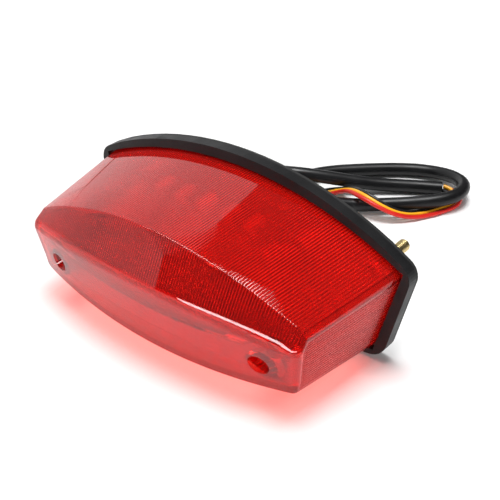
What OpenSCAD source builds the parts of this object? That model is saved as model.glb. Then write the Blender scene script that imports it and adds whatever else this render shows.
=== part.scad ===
// Tail light: a transparent lens on a black housing, with its light board,
// two fixing studs and a three-wire lead. Millimetres, +Z up, +Y towards the
// vehicle. The lamp stands on z = 0, centred in x and y.

/* [Housing] */
// Half width of the housing outline at its upper corners
rim_top_half = 79.5; // [78:0.5:84]
// Rise of the housing outline's crown above the upper corners
rim_crown = 22.2; // [21:0.1:26]
// Half width of the housing outline at its lower corners
rim_low_half = 70.6; // [70:0.1:74]
// Depth of the lower corners below the upper corners
rim_low_drop = 41.9; // [41.5:0.1:46]
// Sag of the lower edge below the lower corners
rim_low_sag = 2.1; // [1.5:0.1:6]
// Thickness of the housing flange
flange_t = 5; // [5:0.1:7]
// Thickness of the rubber pad behind the flange
pad_t = 1.4; // [1:0.1:3]

/* [Lens] */
// Wall thickness of the lens
wall = 2.5; // [2:0.1:3]
// Half width of the lens at the housing
lens_top_half = 75; // [74:0.1:75.5]
// Height of the lens crown above its own upper corners
lens_crown = 18.4; // [16:0.1:19]
// Distance from the mounting plane to the nose of the lens
nose = 67.8; // [64:0.1:75]
// Outer diameter of the screw wells
well_d = 12.3; // [11:0.1:13]
// Bore of the screw wells
well_bore = 8.4; // [8.4:0.1:9]
// Half of the distance between the screw wells
well_x = 51; // [50:0.5:53]

/* [Studs] */
// Thread diameter of the fixing studs
stud_d = 5; // [5:1:6]
// Half of the distance between the studs
stud_x = 62.5; // [61:0.5:63]
// Length of a stud behind the mounting plane
stud_len = 17.5; // [12:0.5:25]

/* [Light board] */
// Width of the board
board_w = 84; // [70:1:84]
// Number of light-emitting diodes in a full row
leds_per_row = 7; // [5:1:7]

/* [Lead] */
// Diameter of the black sleeve
sleeve_d = 6.6; // [6:0.1:6.8]
// Diameter of each wire
wire_d = 2.1; // [1.6:0.1:2.1]

/* [Hidden] */
$fn = 48;
eps = 0.01;

// Shapes are drawn with the mounting plane at y = 0 and the upper corners of
// the housing outline at z = 0, then moved to stand on z = 0.
lift = rim_low_drop + rim_low_sag;
forward = (nose - stud_len) / 2;

// Curves across the width, with u from -1 at the left to 1 at the right.
across = 24;
us = [for (i = [0:across]) -1 + 2 * i / across];
function bow(u) = 1 - u * u;
function arc_r(w, sag) = (w * w + sag * sag) / (2 * sag);
function crown(u, w, sag) = sqrt(pow(arc_r(w, sag), 2) - pow(w * u, 2)) - arc_r(w, sag) + sag;

// Planes of the layers, from the vehicle outwards.
flange_back = -pad_t;
flange_front = flange_back - flange_t;
groove_floor = flange_back - 1.5;
seal_t = 1;
lens_foot = groove_floor - seal_t;
tray_floor = flange_back - 2;
shoulder_back = -17;
shoulder_t = 2.5;
boss_top = shoulder_back + 0.3;
board_back = -20.4;
board_t = 1.6;

// Places in the mounting plane.
well_z = -22;
stud_z = -4;
exit_z = -14;
post_x = 38;
post_zs = [-29, 0];

// Fasteners and the pieces around them.
lens_screw_d = 4;
lens_screw_tip = -5;
lens_screw_head_d = 7.4;
lens_screw_head_t = 3;
washer_t = 0.8;
stud_head_flats = 7;
stud_collar_d = stud_d + 0.4;
stud_collar_end = 0.2;
stud_head_t = 3.5;
post_screw_d = 2.5;
led_d = 5;
led_h = 8.6;
grommet_neck_d = 9;
grommet_tail = 10;

// Turns a shape drawn upwards so that it points away from the vehicle.
module outward(x, y, z) translate([x, y, z]) rotate([90, 0, 0]) children();
module at_rest() translate([0, forward, lift]) children();

// ---- outlines ----

function outline(top_w, top_z, top_sag, low_w, low_z, low_sag) = concat(
    [for (u = us) [top_w * u, top_z + crown(u, top_w, top_sag)]],
    [for (u = us) [-low_w * u, low_z - low_sag * bow(u)]]);

// Rounds the corner at c, between a and b, with radius r.
function unit(v) = v / norm(v);
function rounded(a, c, b, r, n = 8) = let (
    p = unit(a - c), q = unit(b - c), half = acos(p * q) / 2,
    centre = c + unit(p + q) * r / sin(half),
    from = c + p * r / tan(half) - centre, to = c + q * r / tan(half) - centre,
    sweep = 180 - 2 * half, turn = (from[0] * to[1] - from[1] * to[0]) > 0 ? 1 : -1)
    [for (i = [0:n]) let (t = turn * sweep * i / n)
        centre + [from[0] * cos(t) - from[1] * sin(t), from[0] * sin(t) + from[1] * cos(t)]];

function rim_outline() = let (
    keep = [for (i = [2:across - 2]) us[i]],
    top = [for (u = keep) [rim_top_half * u, crown(u, rim_top_half, rim_crown)]],
    low = [for (u = keep) [-rim_low_half * u, -rim_low_drop - rim_low_sag * bow(u)]],
    tr = [rim_top_half, 0], br = [rim_low_half, -rim_low_drop],
    tl = [-rim_top_half, 0], bl = [-rim_low_half, -rim_low_drop],
    last = len(top) - 1)
    concat(top, rounded(top[last], tr, br, 7.6), rounded(tr, br, low[0], 9),
        low, rounded(low[last], bl, tl, 9), rounded(bl, tl, top[0], 7.6));

function lens_outline(inset) = outline(lens_top_half - inset, -1 - inset, lens_crown,
    66 - inset, -39.1 + inset, 1.5);

// A flat slice of an outline between two distances from the vehicle.
module slab(points, y_front, y_back)
    translate([0, y_back, 0]) rotate([90, 0, 0])
        linear_extrude(y_back - y_front) polygon(points);

// ---- lens ----

// One crosswise curve: half width, y and z at its ends, y and z in the middle.
function rail(w, y_end, z_end, y_mid, z_mid) =
    [for (u = us) [w * u, y_end + (y_mid - y_end) * bow(u), z_end + (z_mid - z_end) * bow(u)]];

function top_rails(t) = [
    [for (u = us) [(lens_top_half - t) * u, lens_foot,
        -1 - t + crown(u, lens_top_half - t, lens_crown)]],
    rail(67 - t, -52.8 + t, -5.9 - t, 8.9 - nose + t, 13.3 - t),
    rail(67.8 - t, -58.5 + t, -10.6, -nose + 1.2 * t, -5.6)];
function low_rails(t) = [
    rail(66 - t, lens_foot, -39.1 + t, lens_foot, -40.6 + t),
    rail(64.6 - t, -50 + t, -32.6 + t, 10 - nose + t, -36.4 + t),
    rail(64.4 - t, -54.3 + t, -31.8 + t, 6 - nose + t, -36 + t)];

// A closed solid between the upper and the lower curves.
module lens_body(t, foot) {
    tops = top_rails(t);
    lows = low_rails(t);
    n = len(us);
    stations = len(tops);
    points = [for (rails = [tops, lows], j = [0:stations - 1], p = rails[j])
        j == 0 ? [p[0], p[1] + foot, p[2]] : p];
    function top(j, i) = j * n + i;
    function low(j, i) = (stations + j) * n + i;
    function quad(a, b, c, d) = [[a, b, c], [a, c, d]];
    faces = [for (
        part = concat(
            [for (j = [0:stations - 2], i = [0:n - 2])
                quad(top(j, i), top(j, i + 1), top(j + 1, i + 1), top(j + 1, i))],
            [for (j = [0:stations - 2], i = [0:n - 2])
                quad(low(j, i), low(j + 1, i), low(j + 1, i + 1), low(j, i + 1))],
            [for (j = [0:stations - 2])
                quad(top(j, 0), top(j + 1, 0), low(j + 1, 0), low(j, 0))],
            [for (j = [0:stations - 2])
                quad(top(j, n - 1), low(j, n - 1), low(j + 1, n - 1), top(j + 1, n - 1))],
            [for (i = [0:n - 2])
                quad(top(stations - 1, i), top(stations - 1, i + 1),
                    low(stations - 1, i + 1), low(stations - 1, i))],
            [for (i = [0:n - 2])
                quad(top(0, i), low(0, i), low(0, i + 1), top(0, i + 1))]),
        f = part) f];
    polyhedron(points, faces);
}

module lens() color("crimson", 0.6) at_rest() {
    difference() {
        union() {
            difference() {
                lens_body(0, 0);
                lens_body(wall, 1);
            }
            intersection() {
                lens_body(0.2, 0);
                for (s = [-1, 1]) outward(s * well_x, shoulder_back, well_z)
                    cylinder(d = well_d, h = nose);
            }
        }
        for (s = [-1, 1]) {
            outward(s * well_x, shoulder_back - shoulder_t, well_z)
                cylinder(d = well_bore, h = nose);
            outward(s * well_x, shoulder_back + 1, well_z)
                cylinder(d = lens_screw_d + 0.8, h = shoulder_t + 2);
        }
    }
}

module lens_seal() color("black") at_rest() difference() {
    slab(lens_outline(0), lens_foot, groove_floor);
    slab(lens_outline(wall), lens_foot - 1, groove_floor + 1);
}

// ---- housing ----

module base_housing() color([0.07, 0.07, 0.08]) at_rest() difference() {
    union() {
        difference() {
            slab(rim_outline(), flange_front, flange_back);
            difference() {
                slab(lens_outline(-0.4), flange_front - 1, groove_floor);
                slab(lens_outline(wall + 1), flange_front - 2, groove_floor + 1);
            }
            slab(lens_outline(wall + 3), flange_front - 1, tray_floor);
        }
        for (s = [-1, 1]) {
            outward(s * well_x, tray_floor + eps, well_z)
                cylinder(d = 10, h = tray_floor - boss_top + eps);
            for (z = post_zs) outward(s * post_x, tray_floor + eps, z)
                cylinder(d = 6, h = tray_floor - board_back + eps);
        }
        intersection() {
            for (s = [-1, 1]) outward(s * stud_x, tray_floor + eps, stud_z)
                cylinder(d = 12, h = 4.5);
            slab(lens_outline(wall + 1), flange_front - 4, flange_back);
        }
    }
    for (s = [-1, 1]) {
        outward(s * well_x, lens_screw_tip + 0.5, well_z)
            cylinder(d = lens_screw_d + 0.15, h = 20);
        outward(s * stud_x, 1, stud_z) cylinder(d = stud_collar_d + 0.1, h = 14);
        outward(s * stud_x, tray_floor - 1.5, stud_z)
            cylinder(d = (stud_head_flats + 0.2) / cos(30), h = 12, $fn = 6);
        for (z = post_zs) outward(s * post_x, board_back + 9, z)
            cylinder(d = post_screw_d + 0.1, h = 12);
    }
    outward(0, 1, exit_z) cylinder(d = grommet_neck_d, h = 8);
}

module mounting_pad() color([0.05, 0.05, 0.05]) at_rest() difference() {
    slab(rim_outline(), flange_back, 0);
    for (s = [-1, 1]) outward(s * stud_x, 1, stud_z) cylinder(d = stud_collar_d + 0.6, h = 4);
    hull() for (x = [-22, 22]) outward(x, 1, exit_z) cylinder(d = 20, h = 4, $fn = 32);
}

module stud(x) at_rest() {
    outward(x, stud_len, stud_z) cylinder(d = stud_d, h = stud_len);
    outward(x, stud_collar_end, stud_z)
        cylinder(d = stud_collar_d, h = stud_collar_end - tray_floor + 1.5 + eps);
    outward(x, tray_floor - 1.5, stud_z)
        cylinder(d = stud_head_flats / cos(30), h = stud_head_t, $fn = 6);
}
module stud_left() color("goldenrod") stud(-stud_x);
module stud_right() color("goldenrod") stud(stud_x);

// ---- screws that hold the lens ----

module lens_screw(x) at_rest() difference() {
    union() {
        outward(x, lens_screw_tip, well_z)
            cylinder(d = lens_screw_d, h = lens_screw_tip - head_seat() + 1);
        outward(x, head_seat(), well_z) cylinder(d = lens_screw_head_d, h = lens_screw_head_t);
    }
    for (a = [0, 90]) outward(x, head_seat() - lens_screw_head_t + 1.8, well_z)
        rotate([0, 0, a]) translate([-2.2, -0.5, 0]) cube([4.4, 1, 3]);
}
function head_seat() = shoulder_back - shoulder_t - washer_t - 0.05;
module lens_screw_left() color("silver") lens_screw(-well_x);
module lens_screw_right() color("silver") lens_screw(well_x);

module screw_washer(x) at_rest() difference() {
    outward(x, head_seat() + washer_t, well_z) cylinder(d = 7.6, h = washer_t);
    outward(x, head_seat() + 2, well_z) cylinder(d = lens_screw_d + 0.1, h = 4);
}
module screw_washer_left() color("black") screw_washer(-well_x);
module screw_washer_right() color("black") screw_washer(well_x);

// ---- light board ----

row_pitch = 10.5;
column_pitch = 11;
row_zs = [for (i = [0:2]) -24.5 + i * row_pitch];
top_row_z = 7;
function row_xs(n) = [for (i = [0:n - 1]) (i - (n - 1) / 2) * column_pitch];
led_places = concat([for (z = row_zs, x = row_xs(leds_per_row)) [x, z]],
    [for (x = row_xs(leds_per_row - 2)) [x, top_row_z]]);

module circuit_board() color("seagreen") at_rest() difference() {
    slab(concat([[-board_w / 2, -32.5], [board_w / 2, -32.5], [board_w / 2, 3]],
        [for (i = [0:8]) let (x = 34 - 8.5 * i) [x, 11 - x * x / 300]],
        [[-board_w / 2, 3]]), board_back - board_t, board_back);
    for (s = [-1, 1], z = post_zs) outward(s * post_x, board_back + 1, z)
        cylinder(d = 3, h = board_t + 2);
}

module leds() color("mistyrose") at_rest() for (p = led_places)
    translate([p[0], board_back - board_t, p[1]]) rotate([90, 0, 0])
        rotate_extrude($fn = 24) polygon(concat([[0, 0], [2.9, 0], [2.9, 1], [led_d / 2, 1],
            [led_d / 2, led_h - 2.5]],
            [for (a = [15:15:90]) [2.5 * cos(a), led_h - 2.5 + 2.5 * sin(a)]]));

// Small blocks on the back of the board, in a row.
module row_of_parts(xs, z, size)
    for (x = xs) translate([x - size[0] / 2, board_back, z - size[2] / 2]) cube(size);
module resistors() color("dimgray") at_rest()
    row_of_parts([-24, -12, 12, 24], -8, [3.2, 0.6, 1.6]);
module diodes() color([0.12, 0.12, 0.12]) at_rest()
    row_of_parts([-18, 18], -20, [4.4, 2.2, 2.6]);

board_pads = [-4, 0, 4];
pads_z = 1.75;
module solder_joints() color("silver") at_rest() for (x = board_pads)
    outward(x, board_back - board_t, pads_z) cylinder(d1 = 2.4, d2 = 0.8, h = 1, $fn = 16);

module board_screws() color("silver") at_rest() for (s = [-1, 1], z = post_zs) {
    outward(s * post_x, board_back + 8, z) cylinder(d = post_screw_d, h = 8 + board_t + eps);
    outward(s * post_x, board_back - board_t, z) cylinder(d = 5.2, h = 1.8);
}

// ---- lead inside the housing ----

inner_end = -11;
module inner_sleeve() color([0.1, 0.1, 0.1]) at_rest()
    outward(0, grommet_tail, exit_z) cylinder(d = sleeve_d, h = grommet_tail - inner_end);

module wire_grommet() color([0.08, 0.08, 0.08]) at_rest()
    translate([0, 0, exit_z]) rotate([-90, 0, 0]) rotate_extrude() polygon([
        [sleeve_d / 2 + 0.02, tray_floor - 1.6], [6.5, tray_floor - 1.6], [6.5, tray_floor - 0.05],
        [grommet_neck_d / 2 - 0.05, tray_floor - 0.05], [grommet_neck_d / 2 - 0.05, flange_back + 0.05],
        [6.5, flange_back + 0.05], [6.5, 0.6], [4.8, 2], [4.2, grommet_tail],
        [sleeve_d / 2 + 0.02, grommet_tail]]);

module cable_tie() color([0.15, 0.15, 0.15]) at_rest() {
    translate([0, -6.8, exit_z]) rotate([90, 0, 0]) rotate_extrude()
        translate([sleeve_d / 2 + 0.02, 0]) square([1.1, 2.4]);
    translate([-2.2, -9.4, exit_z + sleeve_d / 2 + 1]) cube([4.4, 3, 3.2]);
}

// Wires from the sleeve's inner end up to the pads on the board.
module board_wires() color("firebrick") at_rest() for (i = [0:2])
    swept([[(i - 1) * 2.2, inner_end - eps, exit_z], [(i - 1) * 2.2, inner_end - 3, exit_z],
        [(i - 1) * 3, -15, -9], [board_pads[i], -15, -3], [board_pads[i], -17, pads_z],
        [board_pads[i], board_back + eps, pads_z]], 1.6, 10, 8);

// ---- lead outside the housing ----

// Route points give x, y and the gap under the cord; at 0 it lies on the surface.
rest_gap = 0.3;
exit_gap = exit_z + lift - sleeve_d / 2 - rest_gap;
sleeve_route = [[0, grommet_tail, exit_gap], [0, 20, exit_gap], [-3.5, 30, 21],
    [-10.5, 40, 11.5], [-18.5, 49.5, 3.6], [-27, 59, 0], [-34, 70, 0], [-38, 82, 0], [-37, 94, 0],
    [-31, 105, 0], [-22, 115, 0], [-11, 126, 0], [-1, 134.5, 0], [8, 139, 0.2], [17, 140, 1.2],
    [26.3, 137.2, 2.6], [33.2, 130.4, 3.9], [35, 120.8, 3.9], [30.8, 111.8, 3.2], [23, 104.4, 2.2],
    [14.2, 98.2, 0.8], [5.4, 91, 0.2], [-3, 83.3, 0.2], [-11, 76, 1.7], [-20, 67, 5.2],
    [-29, 59, 9], [-38, 52, 5.6], [-47, 47.4, 1.6], [-58, 46, 0], [-68, 49.2, 0],
    [-74, 56.5, 0], [-74, 66.5, 0], [-67.5, 73.3, 0.8], [-58, 76, 3], [-47.5, 75.8, 6.2], [-38, 79, 7.8],
    [-27, 87, 6.6], [-16, 97.5, 3.4], [-4, 108.5, 0.6], [9, 119.5, 0], [22, 127.5, 0]];

// The middle wire leaves the sleeve's end, turns back inside the bend, passes
// under the sleeve, lies along the front of the loop and crosses over it.
middle_route = [[22.6, 127.8, 3.5], [26.2, 128.8, 3], [30, 127.1, 1.9], [32.4, 123.5, 0.8],
    [32.4, 119.3, 0.1], [31, 115, 0], [28.9, 108.8, 0], [25.4, 101.8, 0], [21.2, 94.6, 1],
    [16, 89, 3.8], [10, 86.2, 6.8], [3.7, 85.4, 8.8], [-3, 87.2, 8.6], [-9, 90, 6.2],
    [-15, 91.5, 2.8], [-20.5, 90, 0.5], [-24, 85.5, 0], [-24, 79.5, 0], [-20, 74.5, 0],
    [-13, 70.5, 0], [-5, 67, 0], [3, 64, 0]];
// The outer wires run on either side of it: -1 behind and 1 in front.
wire_pitch = wire_d + 0.3;
function ahead(p, i) = unit([for (k = [0:1])
    p[min(i + 1, len(p) - 1)][k] - p[max(i - 1, 0)][k]]);
function beside(side) = [for (i = [0:len(middle_route) - 1]) let (
    t = ahead(middle_route, i), offset = side * wire_pitch * min(1, 0.5 + 0.4 * i))
    middle_route[i] + [-t[1] * offset, t[0] * offset, -abs(side) * max(0, 1.9 - 0.65 * i)]];
function centred(route, d) = [for (p = route) p + [0, 0, d / 2 + rest_gap - lift]];

// A smooth curve that starts and ends on the route's end points and rounds off the rest.
function spline(p, k, t) = let (b = p[k], c = p[k + 1],
    a = k > 0 ? p[k - 1] : 2 * b - c, d = k + 2 < len(p) ? p[k + 2] : 2 * c - b)
    (pow(1 - t, 3) * a + (3 * pow(t, 3) - 6 * t * t + 4) * b
        + (1 + 3 * t + 3 * t * t - 3 * pow(t, 3)) * c + pow(t, 3) * d) / 6;
function along(p, rings) = [for (i = [0:rings - 1]) let (s = i * (len(p) - 1) / (rings - 1),
    k = min(floor(s), len(p) - 2)) spline(p, k, s - k)];
function tangent(p, c, i) = let (last = len(p) - 1)
    unit(i == 0 ? p[1] - p[0] : i == len(c) - 1 ? p[last] - p[last - 1] : c[i + 1] - c[i - 1]);

// A closed tube of one diameter through the route's points.
module swept(route, d, rings, sides) {
    c = along(route, rings);
    points = [for (i = [0:rings - 1]) let (t = tangent(route, c, i),
        level = cross(abs(t[2]) > 0.95 ? [1, 0, 0] : [0, 0, 1], t),
        right = unit(level), up = cross(t, right))
        for (j = [0:sides - 1]) c[i] + (right * cos(360 * j / sides)
            + up * sin(360 * j / sides)) * d / 2];
    faces = concat([[for (j = [0:sides - 1]) j]],
        [for (i = [0:rings - 2], j = [0:sides - 1]) let (a = i * sides + j,
            b = i * sides + (j + 1) % sides) each [[a, b + sides, b], [a, a + sides, b + sides]]],
        [[for (j = [sides - 1:-1:0]) (rings - 1) * sides + j]]);
    polyhedron(points, faces);
}

module cable_sleeve() color([0.08, 0.08, 0.08]) at_rest()
    swept(centred(sleeve_route, sleeve_d), sleeve_d, 40, 10);
module wire(side) at_rest() swept(centred(beside(side), wire_d), wire_d, 22, 8);
module wire_black() color([0.08, 0.08, 0.08]) wire(-1);
module wire_red() color("red") wire(1);
module wire_yellow() color("gold") wire(0);

// A tinned end lies in line with the last stretch of its wire.
module wire_end(side) {
    route = centred(beside(side), wire_d);
    last = len(route) - 1;
    run = route[last] - route[last - 1];
    at_rest() translate(route[last]) rotate([0, 90, atan2(run[1], run[0])])
        cylinder(d = 1.2, h = 7, $fn = 16);
}
module wire_end_black() color("silver") wire_end(-1);
module wire_end_red() color("silver") wire_end(1);
module wire_end_yellow() color("silver") wire_end(0);

lens();
lens_seal();
base_housing();
mounting_pad();
circuit_board();
leds();
resistors();
diodes();
solder_joints();
board_screws();
board_wires();
inner_sleeve();
cable_tie();
wire_grommet();
stud_left();
stud_right();
lens_screw_left();
lens_screw_right();
screw_washer_left();
screw_washer_right();
cable_sleeve();
wire_black();
wire_red();
wire_yellow();
wire_end_black();
wire_end_red();
wire_end_yellow();
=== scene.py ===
"""Looks of the tail light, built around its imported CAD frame. Metres, +Z up, +Y towards the vehicle."""

import math

import bmesh
import bpy
import numpy as np
from mathutils import Matrix, Quaternion, Vector


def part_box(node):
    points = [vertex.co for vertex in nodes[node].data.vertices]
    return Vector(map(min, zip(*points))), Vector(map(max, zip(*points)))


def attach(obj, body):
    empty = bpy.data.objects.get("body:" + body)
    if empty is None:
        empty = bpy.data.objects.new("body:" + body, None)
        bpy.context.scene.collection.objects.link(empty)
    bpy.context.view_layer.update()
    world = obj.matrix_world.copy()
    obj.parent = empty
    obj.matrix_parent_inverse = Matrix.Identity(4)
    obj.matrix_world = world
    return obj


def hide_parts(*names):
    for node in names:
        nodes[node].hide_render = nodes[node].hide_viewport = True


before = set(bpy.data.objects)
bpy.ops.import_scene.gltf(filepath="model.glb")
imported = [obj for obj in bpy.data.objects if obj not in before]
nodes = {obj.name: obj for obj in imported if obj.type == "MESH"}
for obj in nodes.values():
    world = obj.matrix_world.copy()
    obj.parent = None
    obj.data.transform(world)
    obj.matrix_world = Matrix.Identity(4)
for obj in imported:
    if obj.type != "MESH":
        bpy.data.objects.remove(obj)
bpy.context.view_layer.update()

# Lengths below are in millimetres in the drawing frame of the CAD, unless a comment says otherwise:
# y = 0 at the mounting plane, z = 0 at the housing's upper corners, and its lowest point this far down.
MM = 0.001
HOUSING_DROP = 44
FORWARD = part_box("mounting_pad")[1].y
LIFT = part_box("base_housing")[0].z + HOUSING_DROP * MM
ORIGIN = np.array([0, FORWARD, LIFT])


def at(x, y, z):
    """A point of the drawing frame, in metres in the shared frame."""
    return Vector((x * MM, FORWARD + y * MM, LIFT + z * MM))


def show(name, data):
    """A new object in the scene."""
    obj = bpy.data.objects.new(name, data)
    bpy.context.scene.collection.objects.link(obj)
    return obj


# ---- camera, in metres ----

CAMERA_PLACE = (0.2157, -0.2540, 0.2455)
CAMERA_AZIMUTH = math.radians(37.68)
CAMERA_ELEVATION = math.radians(32.6)
CAMERA_ROLL = math.radians(1.47)
CAMERA_LENS, CAMERA_SENSOR = 72, 36
CAMERA_NEAR, CAMERA_FAR = 0.01, 20


def make_camera():
    a, e = CAMERA_AZIMUTH, CAMERA_ELEVATION
    back = Vector((math.sin(a) * math.cos(e), -math.cos(a) * math.cos(e), math.sin(e)))
    side = Vector((math.cos(a), math.sin(a), 0))
    up = back.cross(side)
    c, s = math.cos(CAMERA_ROLL), math.sin(CAMERA_ROLL)
    right, above = side * c + up * s, up * c - side * s
    data = bpy.data.cameras.new("camera")
    data.lens, data.sensor_width = CAMERA_LENS, CAMERA_SENSOR
    data.clip_start, data.clip_end = CAMERA_NEAR, CAMERA_FAR
    cam = show("camera", data)
    cam.matrix_world = Matrix((right, above, back)).transposed().to_4x4()
    cam.location = CAMERA_PLACE
    bpy.context.scene.camera = cam


make_camera()

# ---- cords ----

SLEEVE_D = 6.6
WIRE_D = 2.1
REST_GAP = 0.3
EXIT_Z = -14
GROMMET_TAIL = 10
EXIT_GAP = EXIT_Z + LIFT / MM - SLEEVE_D / 2 - REST_GAP
WIRE_PITCH = WIRE_D + 0.3
# Near the sleeve the outer wires start closer to the middle one and lower, point by point along the route.
SPREAD_START, SPREAD_STEP = 0.5, 0.4
DROP_START, DROP_STEP = 1.9, 0.65
SLEEVE_STEPS, WIRE_STEPS = 12, 10
CORD_ROUNDNESS = 6

# x, y and the gap under the cord, as in the CAD source
SLEEVE_ROUTE = [
    (0, GROMMET_TAIL, EXIT_GAP), (0, 20, EXIT_GAP), (-3.5, 30, 21),
    (-10.5, 40, 11.5), (-18.5, 49.5, 3.6), (-27, 59, 0), (-34, 70, 0), (-38, 82, 0), (-37, 94, 0),
    (-31, 105, 0), (-22, 115, 0), (-11, 126, 0), (-1, 134.5, 0), (8, 139, 0.2), (17, 140, 1.2),
    (26.3, 137.2, 2.6), (33.2, 130.4, 3.9), (35, 120.8, 3.9), (30.8, 111.8, 3.2), (23, 104.4, 2.2),
    (14.2, 98.2, 0.8), (5.4, 91, 0.2), (-3, 83.3, 0.2), (-11, 76, 1.7), (-20, 67, 5.2),
    (-29, 59, 9), (-38, 52, 5.6), (-47, 47.4, 1.6), (-58, 46, 0), (-68, 49.2, 0),
    (-74, 56.5, 0), (-74, 66.5, 0), (-67.5, 73.3, 0.8), (-58, 76, 3), (-47.5, 75.8, 6.2), (-38, 79, 7.8),
    (-27, 87, 6.6), (-16, 97.5, 3.4), (-4, 108.5, 0.6), (9, 119.5, 0), (22, 127.5, 0),
]
MIDDLE_ROUTE = [
    (22.6, 127.8, 3.5), (26.2, 128.8, 3), (30, 127.1, 1.9), (32.4, 123.5, 0.8),
    (32.4, 119.3, 0.1), (31, 115, 0), (28.9, 108.8, 0), (25.4, 101.8, 0), (21.2, 94.6, 1),
    (16, 89, 3.8), (10, 86.2, 6.8), (3.7, 85.4, 8.8), (-3, 87.2, 8.6), (-9, 90, 6.2),
    (-15, 91.5, 2.8), (-20.5, 90, 0.5), (-24, 85.5, 0), (-24, 79.5, 0), (-20, 74.5, 0),
    (-13, 70.5, 0), (-5, 67, 0), (3, 64, 0),
]


def beside(side):
    """The route of a wire that runs beside the middle one, behind it for -1 and in front for 1."""
    last = len(MIDDLE_ROUTE) - 1
    route = []
    for i, (x, y, gap) in enumerate(MIDDLE_ROUTE):
        before, after = MIDDLE_ROUTE[max(i - 1, 0)], MIDDLE_ROUTE[min(i + 1, last)]
        t = Vector((after[0] - before[0], after[1] - before[1])).normalized()
        offset = side * WIRE_PITCH * min(1, SPREAD_START + SPREAD_STEP * i)
        drop = abs(side) * max(0, DROP_START - DROP_STEP * i)
        route.append((x - t.y * offset, y + t.x * offset, gap - drop))
    return route


def centred(route, diameter):
    """The middle line of a cord, in metres, from the gaps under it."""
    return [at(x, y, gap + diameter / 2 + REST_GAP - LIFT / MM) for x, y, gap in route]


def smoothed(points, steps):
    """The B-spline of a route's points, as the CAD sweeps along it."""
    out = []
    for k in range(len(points) - 1):
        b, c = points[k], points[k + 1]
        a = points[k - 1] if k > 0 else 2 * b - c
        d = points[k + 2] if k + 2 < len(points) else 2 * c - b
        for i in range(steps):
            t = i / steps
            wa, wd = (1 - t) ** 3, t**3
            wb = 3 * t**3 - 6 * t * t + 4
            wc = 1 + 3 * t + 3 * t * t - 3 * t**3
            out.append((wa * a + wb * b + wc * c + wd * d) / 6)
    out.append(points[-1])
    return out


def cord_curve(name, route, diameter, steps):
    """A round cord as a curve of one open spline, with the points of its middle line."""
    line = smoothed(centred(route, diameter), steps)
    data = bpy.data.curves.new(name, "CURVE")
    data.dimensions = "3D"
    data.bevel_depth = 1.0
    data.bevel_resolution = CORD_ROUNDNESS
    data.use_fill_caps = True
    spline = data.splines.new("POLY")
    spline.points.add(len(line) - 1)
    for point, place in zip(spline.points, line):
        point.co = (*place, 1)
        point.radius = diameter / 2 * MM
    spline.use_smooth = True
    return show(name, data), line


sleeve, sleeve_line = cord_curve("lead_sleeve", SLEEVE_ROUTE, SLEEVE_D, SLEEVE_STEPS)
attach(sleeve, "root")
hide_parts("cable_sleeve")

WIRES = {"wire_black": -1, "wire_yellow": 0, "wire_red": 1}
wire_pieces = {}
for wire_name, side in WIRES.items():
    piece, line = cord_curve("lead_" + wire_name, beside(side), WIRE_D, WIRE_STEPS)
    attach(piece, "root")
    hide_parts(wire_name)
    wire_pieces[wire_name] = piece

# ---- materials ----

PALETTE = {}


def new_material(name):
    """A material with its node tree and its Principled shader."""
    m = bpy.data.materials.new(name)
    m.use_nodes = True
    PALETTE[name] = m
    return m, m.node_tree, m.node_tree.nodes["Principled BSDF"]


def link(tree, source, target):
    tree.links.new(source, target)


def attribute(tree, name):
    node = tree.nodes.new("ShaderNodeAttribute")
    node.attribute_name = name
    return node.outputs["Fac"]


def noise(tree, scale, detail):
    """Noise in object space, so that it stays on a piece that moves."""
    place = tree.nodes.new("ShaderNodeTexCoord")
    tex = tree.nodes.new("ShaderNodeTexNoise")
    tex.inputs["Scale"].default_value = scale
    tex.inputs["Detail"].default_value = detail
    link(tree, place.outputs["Object"], tex.inputs["Vector"])
    return tex.outputs["Fac"]


def ramp(tree, fac, *stops):
    """A colour ramp over a factor; each stop is a place and a grey or a colour."""
    node = tree.nodes.new("ShaderNodeValToRGB")
    for cell, (where, value) in zip(node.color_ramp.elements, stops):
        cell.position = where
        cell.color = (value, value, value, 1) if isinstance(value, (int, float)) else (*value, 1)
    link(tree, fac, node.inputs["Fac"])
    return node.outputs["Color"]


def bump(tree, shader, height, strength, distance):
    node = tree.nodes.new("ShaderNodeBump")
    node.inputs["Strength"].default_value = strength
    node.inputs["Distance"].default_value = distance
    link(tree, height, node.inputs["Height"])
    link(tree, node.outputs["Normal"], shader.inputs["Normal"])


def maths(tree, operation, *values):
    """A Math node, whose values are numbers or sockets."""
    node = tree.nodes.new("ShaderNodeMath")
    node.operation = operation
    for socket, value in zip(node.inputs, values):
        if isinstance(value, (int, float)):
            socket.default_value = value
        else:
            link(tree, value, socket)
    return node.outputs[0]


def product(tree, first, *factors):
    out = first
    for factor in factors:
        out = maths(tree, "MULTIPLY", out, factor)
    return out


def colour_in(tree, amount, colour):
    """Mixes a colour into the base colour, by an amount from 0 to 1."""
    base = tree.nodes["Principled BSDF"].inputs["Base Color"]
    mix = tree.nodes.new("ShaderNodeMix")
    mix.data_type = "RGBA"
    factor, plain, added = mix.inputs[0], mix.inputs[6], mix.inputs[7]
    link(tree, amount, factor)
    link(tree, base.links[0].from_socket, plain)
    added.default_value = (*colour, 1)
    link(tree, mix.outputs[2], base)


def see_through(tree, amount, tint=(1, 1, 1)):
    """Lets the amount from 0 to 1 of the light pass straight through a material, tinted."""
    through = tree.nodes.new("ShaderNodeBsdfTransparent")
    through.inputs["Color"].default_value = (*tint, 1)
    mix = tree.nodes.new("ShaderNodeMixShader")
    link(tree, amount, mix.inputs["Fac"])
    link(tree, tree.nodes["Principled BSDF"].outputs["BSDF"], mix.inputs[1])
    link(tree, through.outputs["BSDF"], mix.inputs[2])
    link(tree, mix.outputs["Shader"], tree.nodes["Material Output"].inputs["Surface"])


def light_path(tree, kind):
    return tree.nodes.new("ShaderNodeLightPath").outputs[kind]


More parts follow.
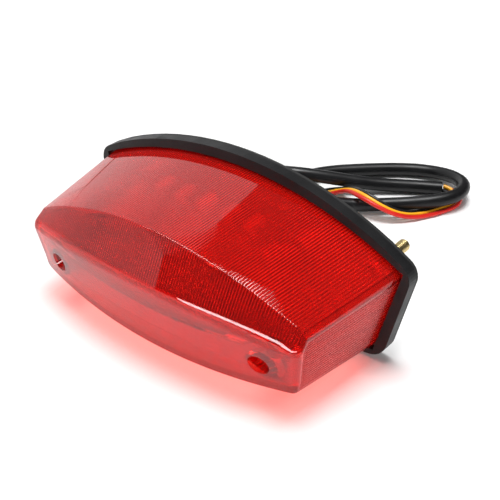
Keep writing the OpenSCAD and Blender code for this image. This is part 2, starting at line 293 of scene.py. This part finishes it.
# Scale and detail of the noises that mottle a colour and a gloss, and the detail of the fine grain
MOTTLE, GLOSS_PATCHES, GRAIN_DETAIL = (55, 5), (130, 4), 3


def moulded(name, dark, light, rough, grain, metallic=0.0, specular=0.5):
    """A moulded, plated or rubber finish: mottled colour, uneven gloss and a fine grain.
    The grain is its scale, its depth in metres and its strength."""
    _, tree, shader = new_material(name)
    link(tree, ramp(tree, noise(tree, *MOTTLE), (0.3, dark), (0.7, light)), shader.inputs["Base Color"])
    low, high = rough
    gloss = ramp(tree, noise(tree, *GLOSS_PATCHES), (0.3, low), (0.7, high))
    link(tree, gloss, shader.inputs["Roughness"])
    scale, depth, strength = grain
    bump(tree, shader, noise(tree, scale, GRAIN_DETAIL), strength, depth)
    shader.inputs["Metallic"].default_value = metallic
    shader.inputs["Specular IOR Level"].default_value = specular


LENS_RED = (0.84, 0.016, 0.008)
# Painted shade: the darker red mixed in along the flutes' valleys and in the lens's corners
VALLEY_PAINTED_SHADE = (0.26, 0.001, 0.0005)
SHADOW_TINT = (0.89, 0.68, 0.65)
ACRYLIC_IOR = 1.49
# How much of the light the lens lets through where it is clear and where its flutes frost it
CLEAR_SHARE = 0.96
FROSTED_SHARE = 0.74
# Where the painted shade of the valleys and the colour of the crests begin, then the noises and the measures
# of gloss and speckle
VALLEY_STOP, CREST_STOP = 0.25, 0.95
LENS_PATCHES, LENS_GLOSS = (90, 3), ((0.35, 0.015), (0.75, 0.04))
SPECKLE, SPECKLE_STRENGTH, SPECKLE_DEPTH = (900, 3), 0.8, 0.00022


def make_lens_material():
    """Red acrylic. Shadow rays pass through tinted, so that the lamps light the inside and the floor."""
    _, tree, shader = new_material("red_acrylic")
    # Painted shade: the flute attribute darkens the red towards the valley colour in the flutes' valleys and
    # corners
    red = ramp(tree, attribute(tree, "flute"), (VALLEY_STOP, VALLEY_PAINTED_SHADE), (CREST_STOP, LENS_RED))
    link(tree, red, shader.inputs["Base Color"])
    clear = ramp(tree, attribute(tree, "frost"), (0.0, CLEAR_SHARE), (1.0, FROSTED_SHARE))
    link(tree, clear, shader.inputs["Transmission Weight"])
    shader.inputs["IOR"].default_value = ACRYLIC_IOR
    link(tree, ramp(tree, noise(tree, *LENS_PATCHES), *LENS_GLOSS), shader.inputs["Roughness"])
    speckle = product(tree, noise(tree, *SPECKLE), attribute(tree, "inside"))
    bump(tree, shader, speckle, SPECKLE_STRENGTH, SPECKLE_DEPTH)
    see_through(tree, light_path(tree, "Is Shadow Ray"), SHADOW_TINT)


make_lens_material()

# name: dark colour, light colour, lowest and highest roughness, grain, then metallic and specular
MOULDED = {
    "black_housing": (
        (0.005, 0.005, 0.0055), (0.010, 0.010, 0.011), (0.40, 0.52), (1100, 0.00008, 0.6), 0.0, 0.24,
    ),
    "black_rubber": ((0.012, 0.012, 0.012), (0.024, 0.024, 0.024), (0.55, 0.72), (800, 0.0001, 0.8)),
    "pad_foam": ((0.010, 0.010, 0.010), (0.020, 0.020, 0.020), (0.7, 0.85), (1500, 0.00012, 0.9)),
    "sleeve_vinyl": (
        (0.004, 0.004, 0.0045), (0.009, 0.009, 0.010), (0.30, 0.42), (300, 0.00012, 0.5), 0.0, 0.32,
    ),
    "wire_black_vinyl": ((0.008, 0.008, 0.008), (0.014, 0.014, 0.014), (0.3, 0.4), (500, 0.00004, 0.4)),
    "wire_red_vinyl": ((0.52, 0.012, 0.008), (0.66, 0.022, 0.014), (0.3, 0.42), (500, 0.00004, 0.4)),
    "wire_yellow_vinyl": ((0.86, 0.36, 0.01), (0.95, 0.46, 0.02), (0.3, 0.42), (500, 0.00004, 0.4)),
    "board_mask": ((0.10, 0.11, 0.10), (0.14, 0.15, 0.14), (0.3, 0.4), (1200, 0.00002, 0.3)),
    "clear_epoxy": ((0.50, 0.40, 0.38), (0.60, 0.48, 0.46), (0.08, 0.16), (400, 0.00002, 0.2)),
    "tinned_copper": ((0.62, 0.60, 0.56), (0.74, 0.72, 0.68), (0.22, 0.38), (900, 0.00005, 0.5), 1.0),
    "zinc_plate": ((0.60, 0.61, 0.62), (0.72, 0.73, 0.74), (0.25, 0.4), (900, 0.00003, 0.4), 1.0),
    "yellow_zinc_plate": ((0.62, 0.45, 0.18), (0.76, 0.60, 0.30), (0.24, 0.40), (700, 0.00003, 0.5), 1.0),
    "chip_black": ((0.02, 0.02, 0.022), (0.035, 0.035, 0.038), (0.4, 0.55), (1400, 0.00003, 0.5)),
    "nylon_black": ((0.012, 0.012, 0.012), (0.02, 0.02, 0.02), (0.35, 0.5), (900, 0.00004, 0.5)),
}
for name, look in MOULDED.items():
    moulded(name, *look)

# Painted shade for the roots of the studs' threads
ROOT_PAINTED_SHADE = (0.05, 0.035, 0.015)
INSIDE_GREY = (0.45, 0.45, 0.45)
# What faces the lens inside the lens joint: half width at z = 0 and its lean, the front, the top in the
# middle and how it falls away in metres for each square metre of x, and the low edge
INSIDE_HALF, INSIDE_LEAN, INSIDE_FRONT = 69.5, 0.236, -3
INSIDE_TOP, INSIDE_CROWN, INSIDE_LOW = 13.5, 2.6, -38


def paint_root_shade(material):
    """Painted shade in the roots of a thread: a dark brown mixed into the colour where the crest attribute is
    low.
    """
    tree = PALETTE[material].node_tree
    colour_in(tree, ramp(tree, attribute(tree, "crest"), (0.15, 1.0), (0.8, 0.0)), ROOT_PAINTED_SHADE)


def paint_inside(material):
    """Light grey paint on what faces the lens inside the lens joint; the rest stays as it is."""
    tree = PALETTE[material].node_tree
    place = tree.nodes.new("ShaderNodeTexCoord")
    axes = tree.nodes.new("ShaderNodeSeparateXYZ")
    link(tree, place.outputs["Object"], axes.inputs["Vector"])
    x, y, z = (axes.outputs[k] for k in "XYZ")
    width = maths(tree, "MULTIPLY_ADD", z, -INSIDE_LEAN, maths(tree, "ABSOLUTE", x))
    rise = maths(tree, "MULTIPLY_ADD", product(tree, x, x), INSIDE_CROWN, z)
    inside = product(
        tree,
        maths(tree, "LESS_THAN", width, INSIDE_HALF * MM - INSIDE_LEAN * LIFT),
        maths(tree, "LESS_THAN", y, FORWARD + INSIDE_FRONT * MM),
        maths(tree, "LESS_THAN", rise, LIFT + INSIDE_TOP * MM),
        maths(tree, "GREATER_THAN", z, LIFT + INSIDE_LOW * MM),
    )
    colour_in(tree, inside, INSIDE_GREY)


# Painted shade in the roots of the studs' threads
paint_root_shade("yellow_zinc_plate")
paint_inside("black_housing")

FINISHES = {
    "lens_seal": "black_rubber", "base_housing": "black_housing", "mounting_pad": "pad_foam",
    "circuit_board": "board_mask", "leds": "clear_epoxy", "resistors": "chip_black",
    "diodes": "chip_black", "solder_joints": "tinned_copper", "board_screws": "zinc_plate",
    "board_wires": "wire_red_vinyl", "inner_sleeve": "sleeve_vinyl", "cable_tie": "nylon_black",
    "wire_grommet": "black_rubber", "stud_left": "yellow_zinc_plate", "stud_right": "yellow_zinc_plate",
    "lens_screw_left": "zinc_plate", "lens_screw_right": "zinc_plate",
    "screw_washer_left": "black_rubber", "screw_washer_right": "black_rubber",
    "wire_end_black": "tinned_copper", "wire_end_red": "tinned_copper",
    "wire_end_yellow": "tinned_copper",
}
# Width of the rounding on the sharp edges of the CAD parts
EDGES = {
    "base_housing": 0.5, "mounting_pad": 0.25, "lens_screw_left": 0.25, "lens_screw_right": 0.25,
    "board_screws": 0.2, "cable_tie": 0.2, "wire_grommet": 0.25, "circuit_board": 0.1,
    "diodes": 0.15, "resistors": 0.06,
}
SHARP = math.radians(35)
SAME_POINT = 0.005


def dress(obj, material):
    obj.data.materials.clear()
    obj.data.materials.append(PALETTE[material])


def soften(obj, width):
    """Rounds the sharp edges of a CAD part without touching its mesh."""
    weld = obj.modifiers.new("weld", "WELD")
    weld.merge_threshold = SAME_POINT * MM
    bevel = obj.modifiers.new("bevel", "BEVEL")
    bevel.width = width * MM
    bevel.segments = 3
    bevel.limit_method = "ANGLE"
    bevel.angle_limit = SHARP
    bevel.harden_normals = True


for node_name, finish in FINISHES.items():
    dress(nodes[node_name], finish)
dress(sleeve, "sleeve_vinyl")
for wire_name, piece in wire_pieces.items():
    dress(piece, wire_name + "_vinyl")
for node_name, width in EDGES.items():
    soften(nodes[node_name], width)

# ---- meshes ----

MERGE_POINTS, MERGE_EDGES = 0.002, 0.001


def add_object(name, mesh, body, material, replaced):
    obj = show(name, mesh)
    dress(obj, material)
    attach(obj, body)
    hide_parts(replaced)
    return obj


def tidy_mesh(mesh, smooth=True):
    """Merges points that coincide, turns the faces outwards and sets the shading."""
    bm = bmesh.new()
    bm.from_mesh(mesh)
    bmesh.ops.remove_doubles(bm, verts=bm.verts, dist=MERGE_POINTS * MM)
    bmesh.ops.dissolve_degenerate(bm, edges=bm.edges, dist=MERGE_EDGES * MM)
    bmesh.ops.recalc_face_normals(bm, faces=bm.faces)
    bm.to_mesh(mesh)
    bm.free()
    mesh.polygons.foreach_set("use_smooth", [smooth] * len(mesh.polygons))


def raw_mesh(name, points, faces):
    """A mesh in metres from points in millimetres in the drawing frame."""
    mesh = bpy.data.meshes.new(name)
    moved = np.asarray(points, float) * MM + ORIGIN
    mesh.from_pydata(moved.tolist(), [], faces)
    return mesh


def mesh_of(name, points, faces, smooth=True):
    mesh = raw_mesh(name, points, faces)
    tidy_mesh(mesh, smooth)
    return mesh


def give(mesh, name, values):
    """Stores one number for each point of a mesh, for its material to read."""
    layer = mesh.attributes.new(name, "FLOAT", "POINT")
    layer.data.foreach_set("value", values)


# ---- lens ----

NOSE = 67.8
WALL = 2.5
LENS_FOOT = -3.9
FLUTES_ACROSS = 120
FLUTES_DOWN = 20
FLUTE_SAMPLES = 8
FLUTE_DEPTH = 0.34
END_FLUTE_DEPTH = 0.28
# How much of the painted shade of the flutes' valleys shows on the outside as dark lines, and the painted
# shade in the corners between walls
OUTER_PAINTED_LINES = 0.8
CORNER_PAINTED_SHADE = 0.4
# Rows past the walls that the flutes run on for, over the front edge and underneath, and their fade at the end
FRONT_FLUTE_ROWS = 4
LOW_FLUTE_ROWS = 15
FLUTE_FADE_ROWS = 3
# Rows of the top, fully frosted, then how far the steep crescent under it is frosted
TOP_ROWS = 7
SLOPE_FROST = 0.35
# Nicks across the bend, on the outside: rows, depth, the u where they end and the share of u that
# they fade over
BEND_ROWS = (5, 9)
BEND_NICK = 0.14
NICK_END, NICK_FADE = 0.96, 0.05
GROOVE_FADE = 0.02
# The rounded rectangle that the loops are laid out on
LOOP_HALF, LOOP_HEIGHT = 70.0, 30.0
CORNER = 2.2
CORNER_SAMPLES = 6
# How close u and v come to the ends of their ranges on the flat walls
END_U, SIDE_V, UNDER_V = 0.999, 0.001, 0.95
# Radius of the bend, then radius of the front edge at the top and how much less it is underneath
OUTER_BEND, OUTER_EDGE, OUTER_EDGE_LESS = 0.6, 6.0, 4.8
INNER_BEND, INNER_EDGE, INNER_EDGE_LESS = 2.0, 3.5, 3.0
BEND_STEPS, EDGE_STEPS = 4, 10
FOOT_ROWS, SLOPE_ROWS, CAP_ROWS = 3, 3, 14
# The front face closes in on its middle line: how far across, and the share of the way where it starts
CAP_SHRINK, CAP_START = 0.3, 0.5
HOLD = 0.35
LONGEST_FILLET = 0.45
INSIDE_POINT = np.array([0.0, -30.0, -14.0])


def bow(u):
    return 1 - u * u


def crown(u, w, sag):
    """Height of an arc of half width w over its ends."""
    r = (w * w + sag * sag) / (2 * sag)
    return np.sqrt(r * r - (w * u) ** 2) - r + sag


def rail(u, w, y_end, z_end, y_mid, z_mid):
    """A crosswise curve of half width w, from its ends to its middle."""
    return np.stack([w * u, y_end + (y_mid - y_end) * bow(u), z_end + (z_mid - z_end) * bow(u)], -1)


def rails(u, t):
    """The upper and lower crosswise curves at the foot, at the bend and at the front edge, t inside the skin.
    The numbers are the lens's own outline, as in the CAD source."""
    foot_y = LENS_FOOT + 0 * u
    upper = (
        np.stack([(75 - t) * u, foot_y, -1 - t + crown(u, 75 - t, 18.4)], -1),
        rail(u, 67 - t, -52.8 + t, -5.9 - t, 8.9 - NOSE + t, 13.3 - t),
        rail(u, 67.8 - t, -58.5 + t, -10.6, -NOSE + 1.2 * t, -5.6),
    )
    lower = (
        rail(u, 66 - t, LENS_FOOT, -39.1 + t, LENS_FOOT, -40.6 + t),
        rail(u, 64.6 - t, -50 + t, -32.6 + t, 10 - NOSE + t, -36.4 + t),
        rail(u, 64.4 - t, -54.3 + t, -31.8 + t, 6 - NOSE + t, -36 + t),
    )
    return upper, lower


def section(j, u, v, t):
    """A point of cross-section j: u across and v down, on the straight line between its curves."""
    upper, lower = rails(u, t)
    return upper[j] * (1 - v)[..., None] + lower[j] * v[..., None]


def loop_parameters():
    """u and v round a rounded rectangle, and the height of the flutes there, from 0 to 1."""

    def wall(flutes, low, high):
        n = flutes * FLUTE_SAMPLES
        height = np.abs(np.sin(math.pi * np.arange(n + 1) / FLUTE_SAMPLES))
        return np.linspace(low, high, n + 1), height

    half, height = LOOP_HALF, LOOP_HEIGHT
    xs, flute_a = wall(FLUTES_ACROSS, -half + CORNER, half - CORNER)
    zs, flute_d = wall(FLUTES_DOWN, CORNER, height - CORNER)
    walls = (
        (xs, np.zeros(len(xs)), flute_a), (np.full(len(zs), half), zs, flute_d),
        (xs[::-1], np.full(len(xs), height), flute_a), (np.full(len(zs), -half), zs[::-1], flute_d),
    )
    corners = (
        (half - CORNER, CORNER, 0), (half - CORNER, height - CORNER, math.pi / 2),
        (-half + CORNER, height - CORNER, math.pi), (-half + CORNER, CORNER, 1.5 * math.pi),
    )
    turn = np.linspace(0, math.pi / 2, CORNER_SAMPLES + 2)[1:-1]
    bare = np.zeros(CORNER_SAMPLES)
    parts = []
    for straight, (cx, cz, start) in zip(walls, corners):
        parts += [straight, (cx + CORNER * np.sin(turn + start), cz - CORNER * np.cos(turn + start), bare)]
    x, z, flute = (np.concatenate([p[k] for p in parts]) for k in range(3))
    return x / half, z / height, flute


def unit_rows(v):
    return v / np.maximum(np.linalg.norm(v, axis=-1, keepdims=True), 1e-9)


def filleted(a, c, b, radius, steps):
    """Rows of points that round the corners c between a and b with one radius."""
    p, q = unit_rows(a - c), unit_rows(b - c)
    half = np.arccos(np.clip((p * q).sum(-1), -1, 1)) / 2
    reach = np.minimum(radius / np.tan(half), LONGEST_FILLET * np.linalg.norm(b - c, axis=-1))
    reach = np.minimum(reach, LONGEST_FILLET * np.linalg.norm(a - c, axis=-1))
    r = reach * np.tan(half)
    centre = c + unit_rows(p + q) * (r / np.sin(half))[:, None]
    start, end = c + p * reach[:, None] - centre, c + q * reach[:, None] - centre
    sweep = math.pi - 2 * half
    rows = []
    for i in range(steps + 1):
        t = i / steps
        wa = np.sin((1 - t) * sweep) / np.sin(sweep)
        wb = np.sin(t * sweep) / np.sin(sweep)
        rows.append(centre + start * wa[:, None] + end * wb[:, None])
    return rows


def cap_point(u, v, k, t):
    """A point of the front face, from its edge at k = 0 to its middle line at k = 1."""
    return section(2, u * (1 - CAP_SHRINK * k), 0.5 + (v - 0.5) * (1 - k), t)


def held(point, towards):
    """A row just off a rounded edge, which keeps the flat beside it flat in its shading."""
    return point + unit_rows(towards - point) * HOLD


def between(a, b, steps):
    """Rows that part the way from a to b into steps, without its ends."""
    return [a + (b - a) * i / steps for i in range(1, steps)]


def skin(u, v, t, bend_r, edge_r):
    """One skin of the lens as rows of loops, from the foot to the middle of the front face."""
    foot_loop = section(0, u, v, t)
    bend, edge = section(1, u, v, t), section(2, u, v, t)
    first = cap_point(u, v, CAP_START, t)
    bend_rows = filleted(foot_loop, bend, edge, bend_r, BEND_STEPS)
    edge_rows = filleted(bend_rows[-1], edge, first, edge_r, EDGE_STEPS)
    rows = [foot_loop, held(foot_loop, bend_rows[0])]
    rows += between(foot_loop, bend_rows[0], FOOT_ROWS)
    rows += [held(bend_rows[0], foot_loop), *bend_rows, held(bend_rows[-1], edge_rows[0])]
    rows += between(bend_rows[-1], edge_rows[0], SLOPE_ROWS)
    rows += [held(edge_rows[0], bend_rows[-1])]
    fluted = len(rows)
    rows += [*edge_rows, held(edge_rows[-1], first)]
    rows += [cap_point(u, v, CAP_START + (1 - CAP_START) * i / CAP_ROWS, t) for i in range(CAP_ROWS + 1)]
    return np.array(rows), fluted


def flute_rows(rows, flute, v, fluted, depth):
    """Raises the flutes on a skin, along its own normal and towards the inside."""
    along = np.roll(rows, -1, axis=1) - np.roll(rows, 1, axis=1)
    down = np.gradient(rows, axis=0)
    normal = unit_rows(np.cross(along, down))
    normal *= np.sign(((INSIDE_POINT - rows) * normal).sum(-1, keepdims=True))
    past = (np.arange(len(rows)) - fluted + 1)[:, None]
    reach = np.where(v > UNDER_V, LOW_FLUTE_ROWS, FRONT_FLUTE_ROWS)[None, :]
    share = np.clip(1 - (past - reach + FLUTE_FADE_ROWS) / FLUTE_FADE_ROWS, 0, 1)
    share[0] = 0
    return rows + normal * (share * flute[None, :] * depth)[..., None], share


def shell_faces(rows_out, rows_in, around):
    """Faces of a closed shell whose two skins meet at their first rows."""
    faces = []
    for base, rows, flip in ((0, rows_out, False), (rows_out * around, rows_in, True)):
        for j in range(rows - 1):
            for i in range(around):
                k = (i + 1) % around
                quad = (
                    base + j * around + i, base + j * around + k,
                    base + (j + 1) * around + k, base + (j + 1) * around + i,
                )
                faces.append(quad[::-1] if flip else quad)
    inner = rows_out * around
    for i in range(around):
        k = (i + 1) % around
        faces.append((i, inner + i, inner + k, k))
    return faces


WELL_X, WELL_Z = 51, -22
WELL_D, WELL_BORE = 12.3, 8.4
WELL_CHAMFER, BORE_OVERLAP = 0.3, 0.3
SHOULDER_BACK, SHOULDER_T = -17, 2.5
LENS_SCREW_D = 4
SCREW_ROOM = 0.4
# The bore's mouth widens towards a plane in front of the lens
MOUTH_Y, MOUTH_END_Y, MOUTH_WIDER = -80, -60, 0.5
CUT_PAST = 2
FACE_HALF = 66.5
FACE_GAP = 0.4
ROUND_SIDES = 48


def face_y(x, z):
    """Where the front face of the lens lies in front of a point of the mounting plane."""
    upper, lower = rails(np.array([x / FACE_HALF]), 0.0)
    v = (upper[2][0, 2] - z) / (upper[2][0, 2] - lower[2][0, 2])
    return upper[2][0, 1] * (1 - v) + lower[2][0, 1] * v


def turned(name, profile, x, z):
    """A closed solid turned about a line along y: the profile is a closed ring of radius and y.
    A y of None stands for just inside the front face of the lens."""
    points, faces = [], []
    for k in range(ROUND_SIDES):
        a = 2 * math.pi * k / ROUND_SIDES
        for r, y in profile:
            px, pz = x + r * math.cos(a), z + r * math.sin(a)
            points.append((px, face_y(px, pz) + FACE_GAP if y is None else y, pz))
    n = len(profile)
    for k in range(ROUND_SIDES):
        for j in range(n):
            p, q = k * n, (k + 1) % ROUND_SIDES * n
            faces.append((p + j, p + (j + 1) % n, q + (j + 1) % n, q + j))
    return mesh_of(name, points, faces)


def combine(obj, mesh, operation):
    """Joins a mesh to an object or cuts it out, and keeps only the result."""
    tool = show("tool", mesh)
    step = obj.modifiers.new("boolean", "BOOLEAN")
    step.operation = operation
    step.object = tool
    step.solver = "EXACT"
    graph = bpy.context.evaluated_depsgraph_get()
    made = bpy.data.meshes.new_from_object(obj.evaluated_get(graph))
    obj.modifiers.clear()
    obj.data = made
    bpy.data.objects.remove(tool)


LEDGE_LEFT, LEDGE_RIGHT, LEDGE_SAMPLES = -52, 45.5, 40
LEDGE_HALF, LEDGE_Z, LEDGE_RISE, LEDGE_BOW = 66, -14, 2.4, 1.6
# Corners of its cross-section: depth behind the front face and rise, thinner where it stands free
LEDGE_CORNERS = ((WALL - 0.5, -0.9), (WALL + 4, -0.7), (WALL + 4, 0.7), (WALL - 0.5, 0.9))


def ledge_mesh():
    """A straight ledge that stands inwards from the front wall and ends squarely before the right well."""
    points = []
    for x in np.linspace(LEDGE_LEFT, LEDGE_RIGHT, LEDGE_SAMPLES):
        z = LEDGE_Z + LEDGE_RISE * (x / LEDGE_HALF) ** 2 - LEDGE_BOW * bow(x / LEDGE_HALF)
        points += [(x, face_y(x, z + rise) + depth, z + rise) for depth, rise in LEDGE_CORNERS]
    faces = [(0, 1, 2, 3), tuple(4 * (LEDGE_SAMPLES - 1) + k for k in (3, 2, 1, 0))]
    for i in range(LEDGE_SAMPLES - 1):
        for k in range(4):
            j = (k + 1) % 4
            faces.append((4 * i + k, 4 * i + 4 + k, 4 * i + 4 + j, 4 * i + j))
    return mesh_of("ledge", points, faces, smooth=False)


def shell_mesh():
    """The two skins of the lens, with the attributes that its material reads."""
    u, v, flute = loop_parameters()
    on_end, on_side = np.abs(u) > END_U, (v < SIDE_V) | (v > 1 - SIDE_V)
    outer, fluted = skin(u, v, 0.0, OUTER_BEND, OUTER_EDGE - OUTER_EDGE_LESS * v)
    middle = (0.5 - np.abs(v - 0.5) - CORNER / LOOP_HEIGHT) / GROOVE_FADE
    grooves = (1 - flute) * on_end * np.clip(middle, 0, 1)
    outer, _ = flute_rows(outer, grooves, v, fluted - 2, END_FLUTE_DEPTH)
    inner, fluted = skin(u, v, WALL, INNER_BEND, INNER_EDGE - INNER_EDGE_LESS * v)
    inner, share = flute_rows(inner, flute, v, fluted, FLUTE_DEPTH)
    bend = slice(BEND_ROWS[0], BEND_ROWS[1] + 1)
    nick = BEND_NICK * (1 - flute) * on_side * np.clip((NICK_END - np.abs(u)) / NICK_FADE, 0, 1)
    outer[bend] += unit_rows(inner[bend] - outer[bend]) * nick[None, :, None]

    points = np.concatenate([outer.reshape(-1, 3), inner.reshape(-1, 3)])
    mesh = raw_mesh("lens_shell", points, shell_faces(len(outer), len(inner), len(u)))
    # Painted shade: dark lines along the flutes' valleys on both skins, and a fixed darkening in the loop's
    # corners
    valley_shade = share * np.where(on_end | on_side, 1 - flute, CORNER_PAINTED_SHADE)
    outside = 1 - valley_shade * (OUTER_PAINTED_LINES + (1 - OUTER_PAINTED_LINES) * on_end)
    give(mesh, "flute", np.concatenate([outside, 1 - valley_shade]).ravel())
    row = np.arange(len(outer))[:, None]
    frosted = share * np.where((row < TOP_ROWS) | on_end | (v > UNDER_V), 1.0, SLOPE_FROST)
    give(mesh, "frost", np.concatenate([frosted, frosted]).ravel())
    give(mesh, "inside", np.concatenate([0 * outside, np.ones(inner.shape[:2])]).ravel())
    tidy_mesh(mesh)
    return mesh


def make_lens():
    obj = add_object("lens_shell", shell_mesh(), "lens_cover", "red_acrylic", "lens")
    combine(obj, ledge_mesh(), "UNION")
    well, bore, hole = WELL_D / 2, WELL_BORE / 2, LENS_SCREW_D / 2 + SCREW_ROOM
    step = SHOULDER_BACK - SHOULDER_T
    wall_profile = [
        (bore - BORE_OVERLAP, None), (well, None), (well, SHOULDER_BACK + WELL_CHAMFER),
        (well - WELL_CHAMFER, SHOULDER_BACK), (bore - BORE_OVERLAP, SHOULDER_BACK),
    ]
    bore_profile = [
        (0, MOUTH_Y), (bore + MOUTH_WIDER, MOUTH_Y), (bore, MOUTH_END_Y), (bore, step),
        (hole, step), (hole, SHOULDER_BACK + CUT_PAST), (0, SHOULDER_BACK + CUT_PAST),
    ]
    for x in (-WELL_X, WELL_X):
        combine(obj, turned("wall", wall_profile, x, WELL_Z), "UNION")
        combine(obj, turned("bore", bore_profile, x, WELL_Z), "DIFFERENCE")


make_lens()

# ---- studs ----

STUD_X, STUD_Z, STUD_TIP = 62.5, -4, 17.5
STUD_PITCH = 0.8
STUD_HEAD_FLATS = 7
# y and the share of the hexagon along the head, then y and the radius along the collar
STUD_HEAD = ((-8.38, 0), (-8.38, 0.9), (-8.1, 1), (-5.2, 1), (-4.9, 0.94))
STUD_COLLAR = ((-4.9, 2.7), (0.0, 2.7), (0.2, 2.5))
# Where the thread starts, how much shorter it is than the stud, and rows for each turn
THREAD_START, THREAD_LESS, THREAD_ROWS = 0.6, 0.9, 8
ROOT_R, RIDGE_HEIGHT = 2.06, 0.44
RIDGE_TOP, RIDGE_SLOPE = 1.25, 2.5
# Radius of the tip, then the length that it narrows over, and the radii of that cone
TIP_R, TAPER_LENGTH, TAPER_R, TAPER_RISE = 1.75, 0.8, 1.9, 0.6
# Radius where the crest attribute leaves 0, and the rise that takes it to 1
CREST_FROM, CREST_RISE = 2.0, 0.45


def make_stud(name, x):
    """A hexagon-headed stud with a rolled thread down to its collar."""
    turn = np.arange(ROUND_SIDES) * 2 * math.pi / ROUND_SIDES
    hexagon = STUD_HEAD_FLATS / 2 / np.cos((turn % (math.pi / 3)) - math.pi / 6)
    circle = np.ones(ROUND_SIDES)
    rows = [(y, share * hexagon) for y, share in STUD_HEAD]
    rows += [(y, radius * circle) for y, radius in STUD_COLLAR]
    steps = int((STUD_TIP - THREAD_LESS) / STUD_PITCH * THREAD_ROWS)
    for i in range(steps + 1):
        y = THREAD_START + (STUD_TIP - THREAD_LESS) * i / steps
        wave = (y / STUD_PITCH - turn / (2 * math.pi)) % 1
        ridge = np.clip(RIDGE_TOP - RIDGE_SLOPE * np.abs(wave - 0.5), 0, 1)
        taper = min(1.0, (STUD_TIP - y) / TAPER_LENGTH)
        rows.append((y, np.minimum(ROOT_R + RIDGE_HEIGHT * ridge, TAPER_R + TAPER_RISE * taper)))
    rows += [(STUD_TIP, TIP_R * circle), (STUD_TIP, 0 * turn)]
    points = [
        (x + r * math.cos(a), y, STUD_Z + r * math.sin(a)) for y, ring in rows for a, r in zip(turn, ring)
    ]
    faces = []
    for j in range(len(rows) - 1):
        for k in range(ROUND_SIDES):
            q = (k + 1) % ROUND_SIDES
            near, far = j * ROUND_SIDES, (j + 1) * ROUND_SIDES
            faces.append((near + k, near + q, far + q, far + k))
    mesh = mesh_of(name, points, faces)
    radii = [math.hypot(p.co.x / MM - x, (p.co.z - LIFT) / MM - STUD_Z) for p in mesh.vertices]
    give(mesh, "crest", [min(max((r - CREST_FROM) / CREST_RISE, 0), 1) for r in radii])
    add_object(name + "_thread", mesh, "root", "yellow_zinc_plate", name)


make_stud("stud_left", -STUD_X)
make_stud("stud_right", STUD_X)

# ---- floor, light and background, in metres ----

FLOOR_HALF = 1.18
FLOOR_SOLID, FLOOR_GONE = 0.45, 0.95
PAPER_GREY, PAPER_ROUGH, PAPER_SPECULAR = (0.9, 0.9, 0.9, 1), 0.6, 0.2
LAMP_MIDDLE = (0, 0, 0.03)
WORLD_SEEN, WORLD_LIGHT = 1.0, 0.1


def make_floor():
    """White paper that fades out, for the camera only, into the white backdrop far from the lamp."""
    mesh = bpy.data.meshes.new("floor")
    s = FLOOR_HALF
    mesh.from_pydata([(-s, -s, 0), (s, -s, 0), (s, s, 0), (-s, s, 0)], [], [(0, 1, 2, 3)])
    material, tree, shader = new_material("paper")
    shader.inputs["Base Color"].default_value = PAPER_GREY
    shader.inputs["Roughness"].default_value = PAPER_ROUGH
    shader.inputs["Specular IOR Level"].default_value = PAPER_SPECULAR
    place = tree.nodes.new("ShaderNodeTexCoord")
    distance = tree.nodes.new("ShaderNodeVectorMath")
    distance.operation = "LENGTH"
    link(tree, place.outputs["Object"], distance.inputs[0])
    fade = tree.nodes.new("ShaderNodeMapRange")
    fade.interpolation_type = "SMOOTHSTEP"
    fade.inputs["From Min"].default_value = FLOOR_SOLID
    fade.inputs["From Max"].default_value = FLOOR_GONE
    link(tree, distance.outputs["Value"], fade.inputs["Value"])
    see_through(tree, product(tree, fade.outputs["Result"], light_path(tree, "Is Camera Ray")))
    mesh.materials.append(material)
    show("floor", mesh)


def area_light(name, place, target, size, power, roll=0.0):
    data = bpy.data.lights.new(name, "AREA")
    data.shape = "RECTANGLE"
    data.size, data.size_y = size
    data.energy = power
    obj = show(name, data)
    obj.location = place
    facing = (Vector(place) - Vector(target)).to_track_quat("Z", "Y")
    obj.rotation_euler = (facing @ Quaternion((0, 0, 1), roll)).to_euler()
    obj.visible_camera = False
    return obj


def make_light():
    area_light("overhead", (0.0, 0.1, 2.0), LAMP_MIDDLE, (0.85, 0.85), 42)
    area_light("left_panel", (-1.2, -0.2, 1.36), (0, -0.2, 1.36), (3.8, 2.7), 26)
    strip = area_light(
        "front_strip", (0.1, -1.2, 0.26), (0.1, 0, 0.26), (1.2, 0.2), 12, math.radians(18)
    )
    strip.visible_diffuse = False
    fill = area_light("right_fill", (1.15, -0.55, 0.25), LAMP_MIDDLE, (0.5, 0.4), 11)
    fill.visible_glossy = False
    world = bpy.data.worlds.new("studio")
    world.use_nodes = True
    bpy.context.scene.world = world
    tree = world.node_tree
    back = tree.nodes["Background"]
    back.inputs["Color"].default_value = (1, 1, 1, 1)
    level = tree.nodes.new("ShaderNodeMapRange")
    level.inputs["To Min"].default_value = WORLD_LIGHT
    level.inputs["To Max"].default_value = WORLD_SEEN
    link(tree, light_path(tree, "Is Camera Ray"), level.inputs["Value"])
    link(tree, level.outputs["Result"], back.inputs["Strength"])


make_floor()
make_light()
view = bpy.context.scene.view_settings
view.view_transform = "Standard"
view.look = "None"
cycles = bpy.context.scene.cycles
cycles.max_bounces = 14
cycles.transmission_bounces = 12
cycles.transparent_max_bounces = 16
cycles.diffuse_bounces = 3
cycles.glossy_bounces = 5

bpy.context.view_layer.update()
